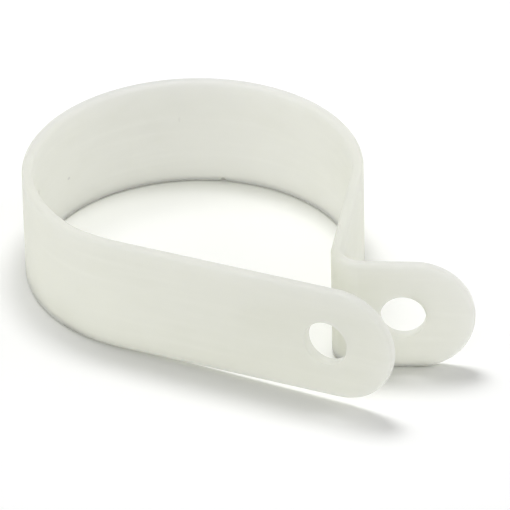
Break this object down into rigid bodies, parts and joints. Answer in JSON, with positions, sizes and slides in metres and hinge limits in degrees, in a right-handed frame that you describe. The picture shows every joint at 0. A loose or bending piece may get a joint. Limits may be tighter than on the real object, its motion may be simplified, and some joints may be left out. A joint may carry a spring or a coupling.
{
  "type": "two-hole cable clamp",
  "caption": "Open strip clamp moulded in one piece: a round loop for a cable or hose, with a straight leg and a bent leg that each end in a rounded tab with a screw hole.",
  "frame": {"origin": "middle of the loop: on its axis, at half the width of the strip", "axes": "+X along the straight front leg towards its tab, +Y from the front leg across the loop, +Z along the loop axis, upwards as the clamp lies on its edge"},
  "size_m": [0.0542, 0.0367, 0.0139],
  "materials": {
    "nylon": "natural nylon, slightly translucent, satin"
  },
  "bodies": {
    "root": {"strip": "nylon"}
  },
  "joints": []
}
